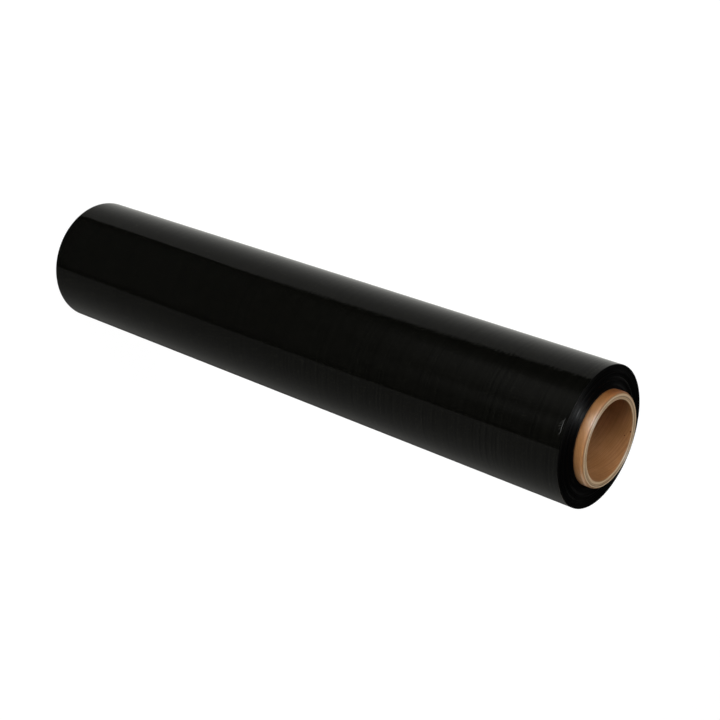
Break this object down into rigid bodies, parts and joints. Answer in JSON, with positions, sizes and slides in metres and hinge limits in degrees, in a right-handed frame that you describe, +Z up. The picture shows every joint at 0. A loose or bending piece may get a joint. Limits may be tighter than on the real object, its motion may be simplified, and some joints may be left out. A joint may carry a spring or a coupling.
{
  "type": "stretch wrap roll",
  "caption": "Hand roll of black stretch wrap film, wound tight on a spiral-wound paper core that stands out of the film at both ends.",
  "frame": {"origin": "middle of the roll's lower end, on the surface that the core stands on", "axes": "+Z up along the roll's axis, towards the end that the picture shows; +X runs square to it, and the film's cut free end lies at 118 degrees round from +X"},
  "size_m": [0.09, 0.0902, 0.464],
  "materials": {
    "film": "gloss",
    "core": "satin"
  },
  "bodies": {
    "root": {"wound_film": "film", "core_tube": "core"}
  },
  "joints": []
}
